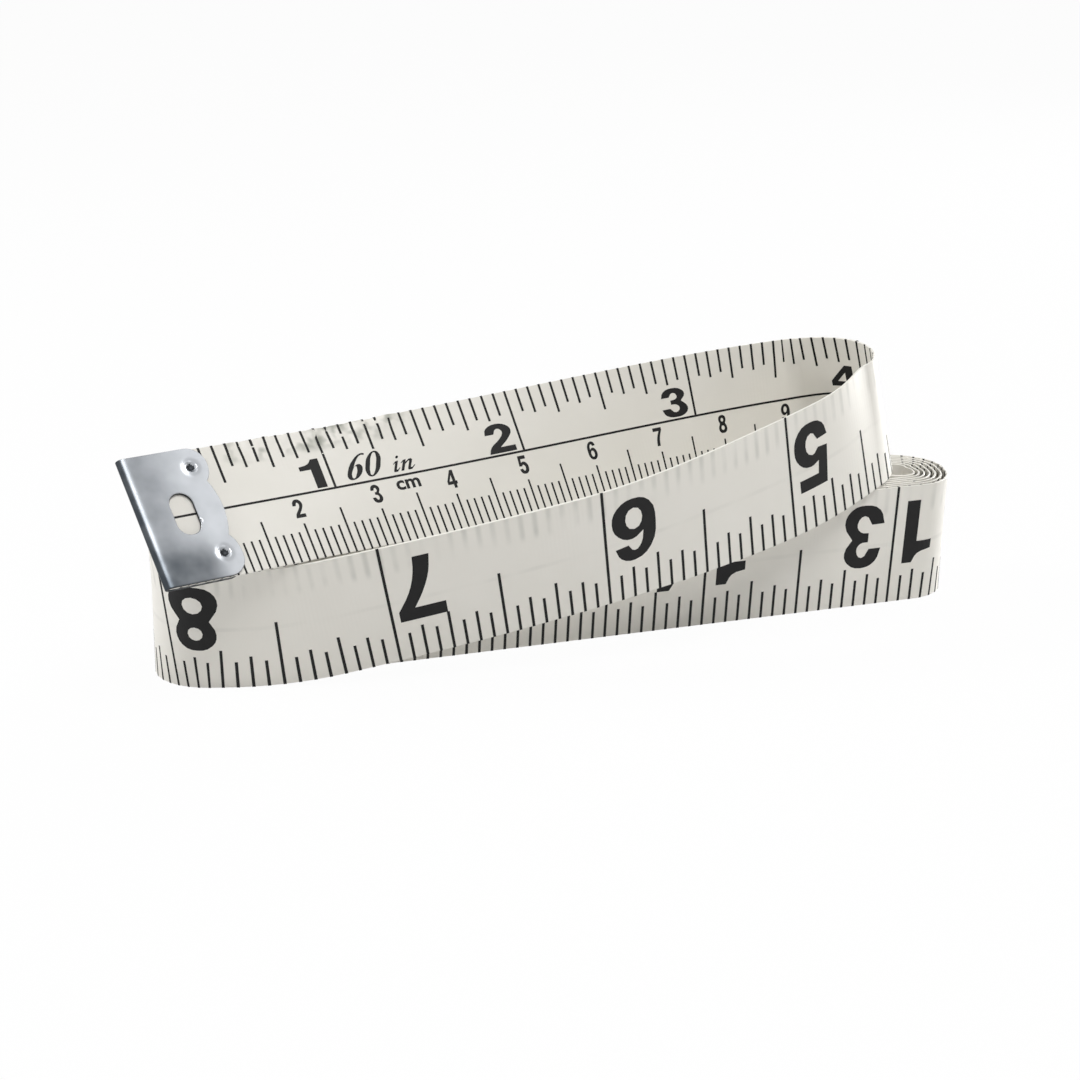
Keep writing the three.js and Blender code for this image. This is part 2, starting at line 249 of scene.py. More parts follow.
def roll_stations(span):
    """Stations of the back run, the half turns about the right and the left centre, and the tail."""
    right = Vector((span / 2, 0))
    left = Vector((-span / 2, -PITCH / 2))
    stations = [station(Vector((-span / 2 - FOLD_REACH, ROLL_RADIUS)), 0, 0)]
    radius = ROLL_RADIUS
    for turn in range(HALF_TURNS + 1):
        if turn % 2 == 0:
            centre, start, lean = right, 90, lambda u: LEAN_ROLL * ease((u - 1) / LEAN_ROLL_SHARE + 1)
        else:
            centre, start, lean = left, 270, lambda u: LEAN_ROLL * ease(1 - u / LEAN_ROLL_SHARE)
        stations += arc_stations(centre, radius, start, start - 180, TURN_STEPS, lambda u: 0, lean)
        radius -= PITCH / 2
    last = stations[-1][0]
    for i in range(1, TURN_STEPS + 1):
        u = i / TURN_STEPS
        plan = Vector((last.x - (TAIL_LENGTH - TIP_LENGTH) * u, last.y + TAIL_INSET * ease(u)))
        stations.append(station(plan, TIP_OVERHANG * ease(u), LEAN_ROLL * ease(1 - u)))
    stations.append(station(Vector((last.x - TAIL_LENGTH, last.y + TAIL_INSET)), TIP_OVERHANG, 0))
    return stations


# The roll's box in the part gives the distance between its centres and where they lie
roll_low, roll_high = (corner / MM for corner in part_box("tape_roll"))
SPAN = roll_high.x - roll_low.x - (2 * ROLL_RADIUS - PITCH / 2 + TAPE_THICKNESS)
SHIFT = Vector((
    roll_high.x - SPAN / 2 - ROLL_RADIUS - TAPE_THICKNESS / 2,
    (roll_high.y + roll_low.y) / 2,
    0,
))
FOLD = Vector((-SPAN / 2 - FOLD_REACH, ROLL_RADIUS - FOLD_RADIUS))
BEND = Vector((SPAN / 2 - BEND_INSET, -BEND_FORWARD))
TOP = TAPE_WIDTH + REST_GAP

run_stations, crossing_point, climbed_at = front_run(FOLD, BEND, TOP)
free_stations, meets_bend = lead_stations(BEND, crossing_point, TOP)
BEND_LENGTH = BEND_RADIUS * math.radians(meets_bend + BEND_END)
stretches = {
    "tape_lead": free_stations,
    "tape_right_bend": arc_stations(
        BEND, BEND_RADIUS, meets_bend, -BEND_END, BEND_STEPS,
        lambda u: climbed_at((u - 1) * BEND_LENGTH) + BEND_RISE * math.sin(math.pi * u) ** 2,
        lambda u: (
            mix(LEAN_LEAD_END, LEAN_BEND, ease(2 * u))
            if u < 0.5
            else mix(LEAN_BEND, LEAN_BEND_END, ease(2 * u - 1))
        ) + finer_lean((u - 1) * BEND_LENGTH),
    ),
    "tape_front_run": run_stations,
    "tape_left_fold": arc_stations(
        FOLD, FOLD_RADIUS, 270 - FOLD_START, 90, FOLD_STEPS, lambda u: 0,
        lambda u: mix(LEAN_FOLD, 0, ease(u / FOLD_SETTLED)),
    ),
    "tape_roll": roll_stations(SPAN),
}

path = []
ranges = {}
for name, stations in stretches.items():
    first = max(len(path) - 1, 0)
    path += stations[1:] if path else stations
    ranges[name] = (first, len(path) - 1)

feet = [foot + SHIFT for foot, lean in path]
along, across, inner = [], [], []
for i, (foot, lean) in enumerate(path):
    direction = (feet[min(i + 1, len(feet) - 1)] - feet[max(i - 1, 0)]).normalized()
    inward = direction.cross(Vector((0, 0, 1))).normalized()
    upright = inward.cross(direction)
    turn = math.radians(lean)
    along.append(direction)
    across.append(upright * math.cos(turn) + inward * math.sin(turn))
    inner.append(direction.cross(across[-1]))
# Lengths run along the ribbon's middle, and along its foot in the roll, where only the top tips out
middles = [foot + up * TAPE_WIDTH / 2 for foot, up in zip(feet, across)]
lengths = [0.0]
for i in range(1, len(feet)):
    measured = feet if i > ranges["tape_roll"][0] else middles
    lengths.append(lengths[-1] + (measured[i] - measured[i - 1]).length)

FOLD_END = lengths[ranges["tape_left_fold"][1]]


def ripple(s, v, height, waves_along, waves_across, layer):
    return height * noise.noise(Vector((s * waves_along, v * waves_across, layer)))


def dent(s, v):
    """How far the soft ribbon stands off its smooth run."""
    if s > FOLD_END:
        return 0.0
    loose = ease((s - TIP_LENGTH) / WAVE_FADE) * ease((FOLD_END - s) / WAVE_FADE)
    handled = ease((s - HANDLED_FROM) / (HANDLED_FULL - HANDLED_FROM))
    handled *= ease((HANDLED_END - s) / (HANDLED_END - HANDLED_LAST))
    upper = ease((v - TAPE_WIDTH + CRINKLE_BAND) / CRINKLE_BAND)
    crinkled = sum(ripple(s, v, *crinkle) for crinkle in CRINKLES)
    return loose * ripple(s, v, *WAVE) + handled * upper * crinkled


def place(s, v, h):
    """The point at s along the ribbon, v up from its lower edge and h out of its inner side, in metres."""
    i = min(max(bisect.bisect_right(lengths, s) - 1, 0), len(lengths) - 2)
    u = (s - lengths[i]) / (lengths[i + 1] - lengths[i])
    foot = feet[i].lerp(feet[i + 1], u)
    up = across[i].lerp(across[i + 1], u).normalized()
    out = inner[i].lerp(inner[i + 1], u).normalized()
    return (foot + up * v + out * (h + dent(s, v))) * MM


def facing(s, v):
    """The direction that the inner side faces at a place on the ribbon, the same for both stretches at a seam."""
    onwards = place(s + FACING_STEP, v, 0) - place(s - FACING_STEP, v, 0)
    upwards = place(s, v + FACING_STEP, 0) - place(s, v - FACING_STEP, 0)
    return onwards.cross(upwards).normalized()


def linear(hex_colour):
    """An sRGB hex colour as linear RGBA."""
    channels = [int(hex_colour[i : i + 2], 16) / 255 for i in (1, 3, 5)]
    return (*[c / 12.92 if c <= 0.04045 else ((c + 0.055) / 1.055) ** 2.4 for c in channels], 1)


def add(tree, kind, sockets=None, **settings):
    """A node with its settings; a socket's value is a number, a colour, an output or a node, for its first output."""
    node = tree.nodes.new(kind)
    for key, value in settings.items():
        setattr(node, key, value)
    for key, value in (sockets or {}).items():
        if isinstance(value, bpy.types.Node):
            value = value.outputs[0]
        if isinstance(value, bpy.types.NodeSocket):
            tree.links.new(value, node.inputs[key])
        else:
            node.inputs[key].default_value = value
    return node


def new_material(name):
    material = bpy.data.materials.new(name)
    material.use_nodes = True
    material.node_tree.nodes.clear()
    return material, material.node_tree


SMOOTH = {"interpolation_type": "SMOOTHSTEP"}
COLOURS = {"data_type": "RGBA"}
WHITE = linear("#ffffff")

# Sizes of the patterns on the materials
COATING_PATCH = 9.09 * MM
THIN_PATCH = 5.88 * MM
# Size of the patches of painted crinkle shade
CRINKLE_SHADE_PATCH = 2.38 * MM
EDGE_FLECK = 0.714 * MM
INK_PATCH = 1.11 * MM
STEEL_GRIT = 0.333 * MM
# Glass threads, half a millimetre apart so that they show
THREAD_SPACING = 0.5
THREAD_HEIGHT = 0.02 * MM

# Marks of the other side that show through the cloth: how far from the middle of a tick and of the dividing line they
# begin and are full, and the shares of the ribbon's width between which the ticks come up
TICK_SOFT, TICK_CORE = 0.5, 0.05
LINE_SOFT, LINE_CORE = 0.4, 0.1
TICKS_FROM, TICKS_FULL = 0.74, 0.83

# Painted shade of the crinkles: where it begins and is full from the upper edge, and where it fades towards the plain
# ribbon
CRINKLE_SHADE_FROM, CRINKLE_SHADE_FULL = 3.2, 1.6
CRINKLE_SHADE_LAST = 33

# Tones of the plated tip, painted reflections: a painted sheen brightens the front leaf away from the fold, which has
# painted shade, and so does the back leaf; the front leaf's foot has painted shade across the leaf and towards the
# fold
SHEEN_FROM, SHEEN_FULL = 1.5, 8.5
FOLD_DARK, FOLD_CLEAR = 0.15, 0.9
BACK_DARK, BACK_CLEAR = -0.7, -1.7
FOOT_HIGH, FOOT_LOW = -2, -6
FOOT_FAR, FOOT_NEAR = 9, 5.5
CLOUD = 2.86
# Lines of the grain in a millimetre, along and across the plate
GRAIN = (1.2, 9, 1)


def coated_cloth(name, show_through):
    """Glass-fibre cloth in white PVC: an ivory semi-gloss skin with the threads just showing in it. The print
    of the other side shows faintly through."""
    material, tree = new_material(name)
    place_on_tape = add(tree, "ShaderNodeUVMap", uv_map="tape")
    s, v = add(tree, "ShaderNodeSeparateXYZ", {0: place_on_tape}).outputs[:2]
    object_place = add(tree, "ShaderNodeTexCoord").outputs["Object"]
    # Uneven coating
    blotch = add(tree, "ShaderNodeTexNoise", {"Vector": object_place, "Scale": 1 / COATING_PATCH, "Detail": 3})
    tone = add(tree, "ShaderNodeMix", {0: blotch, 6: linear("#e6e3da"), 7: linear("#f0ede6")}, **COLOURS)
    if show_through:
        # Sixteenth-inch ticks of the other side, about 3 mm long from the upper edge, and its dividing line
        sixteenth = add(tree, "ShaderNodeMath", {0: s, 1: INCH / 32}, operation="ADD")
        wrapped = add(tree, "ShaderNodeMath", {0: sixteenth, 1: INCH / 16, 2: 0}, operation="WRAP")
        off = add(tree, "ShaderNodeMath", {0: wrapped, 1: INCH / 32}, operation="SUBTRACT")
        off_tick = add(tree, "ShaderNodeMath", {0: off}, operation="ABSOLUTE")
        tick = add(tree, "ShaderNodeMapRange", {0: off_tick, 1: TICK_SOFT, 2: TICK_CORE, 3: 0, 4: 1}, **SMOOTH)
        upper = add(
            tree, "ShaderNodeMapRange",
            {0: v, 1: TICKS_FROM * TAPE_WIDTH, 2: TICKS_FULL * TAPE_WIDTH, 3: 0, 4: 1}, **SMOOTH,
        )
        ticks = add(tree, "ShaderNodeMath", {0: tick, 1: upper}, operation="MULTIPLY")
        to_line = add(tree, "ShaderNodeMath", {0: v, 1: DIVIDER * TAPE_WIDTH}, operation="SUBTRACT")
        off_line = add(tree, "ShaderNodeMath", {0: to_line}, operation="ABSOLUTE")
        line = add(tree, "ShaderNodeMapRange", {0: off_line, 1: LINE_SOFT, 2: LINE_CORE, 3: 0, 4: 0.35}, **SMOOTH)
        ghost = add(tree, "ShaderNodeMath", {0: ticks, 1: line}, operation="MAXIMUM")
        # It shows where the coating is thin
        thin = add(tree, "ShaderNodeTexNoise", {"Vector": object_place, "Scale": 1 / THIN_PATCH, "Detail": 2})
        clear = add(tree, "ShaderNodeMapRange", {0: thin, 1: 0.38, 2: 0.66, 3: 0.06, 4: 0.62})
        share = add(tree, "ShaderNodeMath", {0: ghost, 1: clear}, operation="MULTIPLY")
        show_through_and_crinkle_shade = linear("#c6c5bd")
    else:
        # Painted shade of the crinkles: grey-green patches on the crinkled upper edge by the zero end
        crinkle_shade_noise = add(tree, "ShaderNodeTexNoise", {"Vector": object_place, "Scale": 1 / CRINKLE_SHADE_PATCH, "Detail": 2})
        crinkle_shade_patch = add(tree, "ShaderNodeMapRange", {0: crinkle_shade_noise, 1: 0.5, 2: 0.66, 3: 0, 4: 0.85})
        near_edge = add(
            tree, "ShaderNodeMapRange",
            {0: v, 1: TAPE_WIDTH - CRINKLE_SHADE_FROM, 2: TAPE_WIDTH - CRINKLE_SHADE_FULL, 3: 0, 4: 1}, **SMOOTH,
        )
        from_tip = add(tree, "ShaderNodeMapRange", {0: s, 1: HANDLED_FROM, 2: HANDLED_FULL, 3: 0, 4: 1})
        to_unshaded = add(tree, "ShaderNodeMapRange", {0: s, 1: HANDLED_END, 2: CRINKLE_SHADE_LAST, 3: 0, 4: 1})
        there = add(tree, "ShaderNodeMath", {0: from_tip, 1: to_unshaded}, operation="MULTIPLY")
        edge = add(tree, "ShaderNodeMath", {0: there, 1: near_edge}, operation="MULTIPLY")
        share = add(tree, "ShaderNodeMath", {0: edge, 1: crinkle_shade_patch}, operation="MULTIPLY")
        # Grey-green colour of the painted crinkle shade
        show_through_and_crinkle_shade = linear("#84887b")
    colour = add(tree, "ShaderNodeMix", {0: share, 6: tone.outputs[2], 7: show_through_and_crinkle_shade}, **COLOURS)
    along_threads = add(tree, "ShaderNodeMath", {0: s, 1: 2 * math.pi / THREAD_SPACING}, operation="MULTIPLY")
    across_threads = add(tree, "ShaderNodeMath", {0: v, 1: 2 * math.pi / THREAD_SPACING}, operation="MULTIPLY")
    warp = add(tree, "ShaderNodeMath", {0: along_threads}, operation="SINE")
    weft = add(tree, "ShaderNodeMath", {0: across_threads}, operation="SINE")
    weave = add(tree, "ShaderNodeMath", {0: warp, 1: weft}, operation="ADD")
    raised = add(tree, "ShaderNodeBump", {"Strength": 0.06, "Distance": THREAD_HEIGHT, "Height": weave})
    shader = add(tree, "ShaderNodeBsdfPrincipled", {
        "Base Color": colour.outputs[2], "Roughness": 0.42, "IOR": 1.5, "Normal": raised,
    })
    add(tree, "ShaderNodeOutputMaterial", {"Surface": shader})
    return material


def cut_edge():
    """The cut edge of the ribbon: white PVC with thread ends in it, a little paler than the faces."""
    material, tree = new_material("tape_cut_edge")
    object_place = add(tree, "ShaderNodeTexCoord").outputs["Object"]
    fleck = add(tree, "ShaderNodeTexNoise", {"Vector": object_place, "Scale": 1 / EDGE_FLECK, "Detail": 2})
    tone = add(tree, "ShaderNodeMix", {0: fleck, 6: linear("#e2dfd6"), 7: linear("#f4f2ec")}, **COLOURS)
    shader = add(tree, "ShaderNodeBsdfPrincipled", {"Base Color": tone.outputs[2], "Roughness": 0.5, "IOR": 1.5})
    add(tree, "ShaderNodeOutputMaterial", {"Surface": shader})
    return material


def scale_ink():
    """Black vinyl ink: nearly matt, a little thin in places."""
    material, tree = new_material("scale_ink")
    object_place = add(tree, "ShaderNodeTexCoord").outputs["Object"]
    thin = add(tree, "ShaderNodeTexNoise", {"Vector": object_place, "Scale": 1 / INK_PATCH, "Detail": 4})
    tone = add(tree, "ShaderNodeMix", {0: thin, 6: linear("#0c0c0d"), 7: linear("#1b1a1a")}, **COLOURS)
    shader = add(tree, "ShaderNodeBsdfPrincipled", {
        "Base Color": tone.outputs[2], "Roughness": 0.6, "IOR": 1.45, "Specular IOR Level": 0.3,
    })
    add(tree, "ShaderNodeOutputMaterial", {"Surface": shader})
    return material


def plated_steel():
    """Nickel-plated sheet steel: satin with a fine grain, with a painted sheen away from the fold and painted shade
    round the fold and at the slotted leaf's foot.
    """
    material, tree = new_material("plated_tip_steel")
    place_on_plate = add(tree, "ShaderNodeUVMap", uv_map="plate")
    u, y = add(tree, "ShaderNodeSeparateXYZ", {0: place_on_plate}).outputs[:2]
    # Painted sheen: the base colour lightens away from the fold
    painted_sheen = add(tree, "ShaderNodeMapRange", {0: u, 1: SHEEN_FROM, 2: SHEEN_FULL, 3: 0.42, 4: 0.95}, **SMOOTH)
    # Painted shade round the fold
    rounded = add(tree, "ShaderNodeMapRange", {0: u, 1: FOLD_DARK, 2: FOLD_CLEAR, 3: 0, 4: 1}, **SMOOTH)
    # Painted shade at the front leaf's foot
    low = add(tree, "ShaderNodeMapRange", {0: y, 1: FOOT_HIGH, 2: FOOT_LOW, 3: 0, 4: 0.75}, **SMOOTH)
    by_fold = add(tree, "ShaderNodeMapRange", {0: u, 1: FOOT_FAR, 2: FOOT_NEAR, 3: 0, 4: 1}, **SMOOTH)
    foot = add(tree, "ShaderNodeMath", {0: low, 1: by_fold}, operation="MULTIPLY")
    kept = add(tree, "ShaderNodeMath", {0: 1, 1: foot}, operation="SUBTRACT")
    leaf = add(tree, "ShaderNodeMath", {0: painted_sheen, 1: kept}, operation="MULTIPLY")
    front = add(tree, "ShaderNodeMath", {0: leaf, 1: rounded}, operation="MULTIPLY")
    # Painted sheen on the back leaf, away from the fold
    back = add(tree, "ShaderNodeMapRange", {0: u, 1: BACK_DARK, 2: BACK_CLEAR, 3: 0, 4: 0.8}, **SMOOTH)
    leaves = add(tree, "ShaderNodeMath", {0: front, 1: back}, operation="ADD")
    cloud = add(tree, "ShaderNodeTexNoise", {"Vector": place_on_plate, "Scale": 1 / CLOUD, "Detail": 2})
    drift = add(tree, "ShaderNodeMapRange", {0: cloud, 1: 0.3, 2: 0.7, 3: -0.08, 4: 0.08})
    share = add(tree, "ShaderNodeMath", {0: leaves, 1: drift}, operation="ADD")
    tone = add(tree, "ShaderNodeMix", {0: share, 6: linear("#3f4449"), 7: linear("#b4b7bb")}, **COLOURS)
    stretched = add(tree, "ShaderNodeMapping", {"Vector": place_on_plate, "Scale": GRAIN})
    grain = add(tree, "ShaderNodeTexNoise", {"Vector": stretched, "Scale": 1, "Detail": 3})
    rough = add(tree, "ShaderNodeMapRange", {0: grain, 1: 0.3, 2: 0.7, 3: 0.3, 4: 0.34})
    shader = add(tree, "ShaderNodeBsdfPrincipled", {
        "Base Color": tone.outputs[2], "Metallic": 1, "Roughness": rough,
    })
    add(tree, "ShaderNodeOutputMaterial", {"Surface": shader})
    return material


def bare_steel():
    """Bare steel on the sheared edges, where the plating is cut through: dark and rough. It also paints shade into the
    bottoms of the staked pits.
    """
    material, tree = new_material("bare_edge_and_pit_shade_steel")
    object_place = add(tree, "ShaderNodeTexCoord").outputs["Object"]
    grain = add(tree, "ShaderNodeTexNoise", {"Vector": object_place, "Scale": 1 / STEEL_GRIT, "Detail": 2})
    tone = add(tree, "ShaderNodeMix", {0: grain, 6: linear("#232527"), 7: linear("#4a4d51")}, **COLOURS)
    shader = add(tree, "ShaderNodeBsdfPrincipled", {"Base Color": tone.outputs[2], "Metallic": 1, "Roughness": 0.5})
    add(tree, "ShaderNodeOutputMaterial", {"Surface": shader})
    return material


INCH_SIDE = coated_cloth("coated_cloth_scale_side", False)
NUMBER_SIDE = coated_cloth("coated_cloth_number_side", True)
CUT_EDGE = cut_edge()
INK = scale_ink()
STEEL = plated_steel()
EDGE_STEEL_AND_PIT_SHADE = bare_steel()


def new_piece(name, points, faces, materials, slots=None):
    mesh = bpy.data.meshes.new(name)
    mesh.from_pydata(points, [], faces)
    for material in materials:
        mesh.materials.append(material)
    if slots:
        mesh.polygons.foreach_set("material_index", slots)
    piece = bpy.data.objects.new(name, mesh)
    bpy.context.scene.collection.objects.link(piece)
    return piece


def ribbon(name, node):
    """One stretch of the ribbon as a closed strip with chamfered edges, its UV map in millimetres."""
    first, last = ranges[node]
    half = TAPE_THICKNESS / 2
    c = EDGE_CHAMFER
    rises = [mix(c, TAPE_WIDTH - c, i / ACROSS_STEPS) for i in range(ACROSS_STEPS + 1)]
    section = [(v, half) for v in rises]
    section += [(TAPE_WIDTH, half - c), (TAPE_WIDTH, c - half)]
    section += [(v, -half) for v in reversed(rises)]
    section += [(0, c - half), (0, half - c)]
    kinds = [0] * ACROSS_STEPS + [2] * 3 + [1] * ACROSS_STEPS + [2] * 3
    count = len(section)
    points, faces, slots, marks = [], [], [], []
    for i in range(first, last + 1):
        points += [place(lengths[i], v, h) for v, h in section]
        marks += [(lengths[i], v) for v, h in section]
    for i in range(last - first):
        for k in range(count):
            a, b = i * count + k, i * count + (k + 1) % count
            faces.append((a, a + count, b + count, b))
            slots.append(kinds[k])
    end = (last - first) * count
    faces.append(tuple(range(count)))
    faces.append(tuple(reversed(range(end, end + count))))
    slots += [2, 2]
    piece = new_piece(name, points, faces, [INCH_SIDE, NUMBER_SIDE, CUT_EDGE], slots)
    layer = piece.data.uv_layers.new(name="tape")
    for loop in piece.data.loops:
        layer.data[loop.index].uv = marks[loop.vertex_index]
    for face in piece.data.polygons:
        face.use_smooth = len(face.vertices) == 4
    # Both faces take their shading from the ribbon itself, so that it runs on over the seams
    faced = {(i, v): facing(lengths[i], v) for i in range(first, last + 1) for v in rises}
    normals = [Vector((0, 0, 0))] * len(piece.data.loops)
    for face in piece.data.polygons:
        if face.material_index < 2:
            for index in face.loop_indices:
                ring, k = divmod(piece.data.loops[index].vertex_index, count)
                normal = faced[first + ring, section[k][0]]
                normals[index] = -normal if face.material_index else normal
    piece.data.normals_split_custom_set(normals)
    return piece


# Numerals: outlines drawn in a box one unit high; True marks a smooth point, False a corner
BOWL = [(0.345, 0.5), (0.48, 0.325), (0.345, 0.15), (0.21, 0.325)]
SIX = [
    [(0.66, 0.76, False), (0.58, 0.93, True), (0.36, 1, True), (0.1, 0.85, True), (0, 0.47, True),
     (0.09, 0.11, True), (0.35, 0, True), (0.6, 0.1, True), (0.69, 0.33, True), (0.6, 0.56, True),
     (0.39, 0.65, True), (0.205, 0.555, False), (0.25, 0.76, True), (0.36, 0.845, True), (0.455, 0.74, False)],
    [(x, y, True) for x, y in BOWL],
]
DIGITS = {
    "0": [
        [(0.345, 1, True), (0.61, 0.86, True), (0.69, 0.5, True), (0.61, 0.14, True),
         (0.345, 0, True), (0.08, 0.14, True), (0, 0.5, True), (0.08, 0.86, True)],
        [(0.345, 0.83, True), (0.48, 0.5, True), (0.345, 0.17, True), (0.21, 0.5, True)],
    ],
    "1": [
        [(0.54, 1, False), (0.54, 0, False), (0.31, 0, False), (0.31, 0.66, False), (0.06, 0.66, False),
         (0.06, 0.8, False), (0.28, 0.86, True), (0.37, 1, False)],
    ],
    "2": [
        [(0.02, 0.66, False), (0.09, 0.89, True), (0.35, 1, True), (0.6, 0.9, True), (0.68, 0.7, True),
         (0.58, 0.48, True), (0.31, 0.19, False), (0.68, 0.19, False), (0.68, 0, False), (0, 0, False),
         (0.08, 0.22, True), (0.32, 0.45, True), (0.45, 0.64, True), (0.45, 0.74, True), (0.35, 0.83, True),
         (0.235, 0.655, False)],
    ],
    "3": [
        [(0.03, 0.7, False), (0.11, 0.91, True), (0.35, 1, True), (0.59, 0.91, True), (0.66, 0.74, True),
         (0.54, 0.535, False), (0.69, 0.28, True), (0.6, 0.07, True), (0.35, 0, True), (0.09, 0.09, True),
         (0, 0.31, False), (0.215, 0.315, False), (0.35, 0.165, True), (0.47, 0.29, True), (0.4, 0.42, True),
         (0.26, 0.445, False), (0.26, 0.59, False), (0.4, 0.61, True), (0.45, 0.72, True), (0.35, 0.835, True),
         (0.235, 0.7, False)],
    ],
    "4": [
        [(0.4, 1, False), (0.6, 1, False), (0.6, 0.385, False), (0.7, 0.385, False), (0.7, 0.21, False),
         (0.6, 0.21, False), (0.6, 0, False), (0.39, 0, False), (0.39, 0.21, False), (0, 0.21, False),
         (0, 0.4, False)],
        [(0.39, 0.385, False), (0.39, 0.73, False), (0.16, 0.385, False)],
    ],
    "5": [
        [(0.09, 1, False), (0.63, 1, False), (0.63, 0.815, False), (0.25, 0.815, False), (0.22, 0.62, False),
         (0.39, 0.665, True), (0.61, 0.56, True), (0.69, 0.33, True), (0.58, 0.08, True), (0.33, 0, True),
         (0.08, 0.08, True), (0, 0.28, False), (0.21, 0.295, False), (0.33, 0.165, True), (0.46, 0.33, True),
         (0.34, 0.5, True), (0.21, 0.42, False), (0.02, 0.44, False)],
    ],
    "6": SIX,
    "7": [
        [(0, 1, False), (0.69, 1, False), (0.69, 0.84, False), (0.5, 0.56, True), (0.39, 0.25, True),
         (0.36, 0, False), (0.12, 0, False), (0.17, 0.28, True), (0.3, 0.58, True), (0.45, 0.81, False),
         (0, 0.81, False)],
    ],
    "8": [
        [(0.345, 1, True), (0.58, 0.925, True), (0.65, 0.745, True), (0.555, 0.535, False), (0.69, 0.275, True),
         (0.6, 0.07, True), (0.345, 0, True), (0.09, 0.07, True), (0, 0.275, True), (0.135, 0.535, False),
         (0.04, 0.745, True), (0.11, 0.925, True)],
        [(0.345, 0.84, True), (0.455, 0.735, True), (0.345, 0.63, True), (0.235, 0.735, True)],
        [(0.345, 0.42, True), (0.48, 0.29, True), (0.345, 0.16, True), (0.21, 0.29, True)],
    ],
    "9": [[(0.69 - x, 1 - y, smooth) for x, y, smooth in outline] for outline in SIX],
}
# Letters and numerals of the length mark, with thick and thin strokes; the print slants them
MARK_LETTERS = {
    "6": [
        [(0.6, 0.98, False), (0.46, 1, True), (0.2, 0.8, True), (0.03, 0.36, True), (0.08, 0.08, True),
         (0.28, 0, True), (0.5, 0.12, True), (0.58, 0.36, True), (0.51, 0.54, True), (0.38, 0.59, True),
         (0.24, 0.5, False), (0.34, 0.8, True), (0.47, 0.93, True), (0.6, 0.91, False)],
        [(0.31, 0.53, True), (0.37, 0.42, True), (0.36, 0.2, True), (0.28, 0.055, True), (0.2, 0.15, True),
         (0.22, 0.4, True)],
    ],
    "0": [
        [(0.31, 1, True), (0.53, 0.83, True), (0.59, 0.5, True), (0.52, 0.16, True), (0.29, 0, True),
         (0.08, 0.17, True), (0.02, 0.5, True), (0.09, 0.84, True)],
        [(0.31, 0.945, True), (0.4, 0.8, True), (0.415, 0.5, True), (0.38, 0.18, True), (0.29, 0.055, True),
         (0.21, 0.2, True), (0.195, 0.5, True), (0.22, 0.82, True)],
    ],
    "i": [
        [(0.0, 0.5, False), (0.12, 0.66, False), (0.28, 0.68, False), (0.23, 0.14, False), (0.29, 0.12, False),
         (0.4, 0.24, False), (0.43, 0.21, False), (0.3, 0, False), (0.1, 0, False), (0.08, 0.12, False),
         (0.12, 0.56, False), (0.03, 0.47, False)],
        [(0.2, 1, True), (0.28, 0.91, True), (0.2, 0.82, True), (0.12, 0.91, True)],
    ],
    "n": [
        [(0.0, 0.5, False), (0.12, 0.66, False), (0.27, 0.68, False), (0.26, 0.52, False), (0.4, 0.66, False),
         (0.54, 0.68, False), (0.61, 0.58, False), (0.56, 0.14, False), (0.62, 0.12, False), (0.76, 0.26, False),
         (0.79, 0.23, False), (0.63, 0, False), (0.44, 0, False), (0.41, 0.1, False), (0.46, 0.54, False),
         (0.41, 0.56, False), (0.25, 0.38, False), (0.21, 0, False), (0.06, 0, False), (0.12, 0.56, False),
         (0.03, 0.47, False)],
    ],
}
SMOOTHNESS = 3
DIGIT_WIDTH = 0.8
DIGIT_ROW = 0.2


def evenly(start, end, step):
    """Places a step apart between a start and an end."""
    return [start + i * step for i in range(1, math.ceil((end - start) / step))]


def outline_of(faces):
    """The edges that only one of the faces has."""
    sides = [(a, b) for corners in faces for a, b in zip(corners, corners[1:] + corners[:1])]
    present = set(sides)
    return [(a, b) for a, b in sides if (b, a) not in present]


def flat_shape(curve, columns, rows=(), rim=0):
    """Points, faces and outline edges of a flat curve or text, cut into columns and rows so that it can bend. A rim
    gives it a narrow band of faces along its outline."""
    maker = bpy.data.objects.new("shape_maker", curve)
    bpy.context.scene.collection.objects.link(maker)
    bpy.context.view_layer.update()
    mesh = bpy.data.meshes.new_from_object(maker.evaluated_get(bpy.context.evaluated_depsgraph_get()))
    flat = bmesh.new()
    flat.from_mesh(mesh)
    bpy.data.objects.remove(maker)
    bpy.data.meshes.remove(mesh)
    bmesh.ops.remove_doubles(flat, verts=flat.verts, dist=1e-4)
    bmesh.ops.dissolve_limit(flat, angle_limit=math.radians(1), verts=flat.verts, edges=flat.edges)
    if rim:
        bmesh.ops.inset_region(flat, faces=flat.faces, thickness=rim, use_boundary=True, use_even_offset=True)
    cuts = [((x, 0, 0), (1, 0, 0)) for x in columns] + [((0, y, 0), (0, 1, 0)) for y in rows]
    for middle, normal in cuts:
        everything = flat.verts[:] + flat.edges[:] + flat.faces[:]
        bmesh.ops.bisect_plane(flat, geom=everything, plane_co=middle, plane_no=normal, dist=1e-5)
    bmesh.ops.remove_doubles(flat, verts=flat.verts, dist=rim / 5)
    flat.verts.index_update()
    points = [(vert.co.x, vert.co.y) for vert in flat.verts]
    faces = []
    for face in flat.faces:
        corners = [vert.index for vert in face.verts]
        faces.append(corners if face.normal.z > 0 else corners[::-1])
    flat.free()
    return points, faces, outline_of(faces)


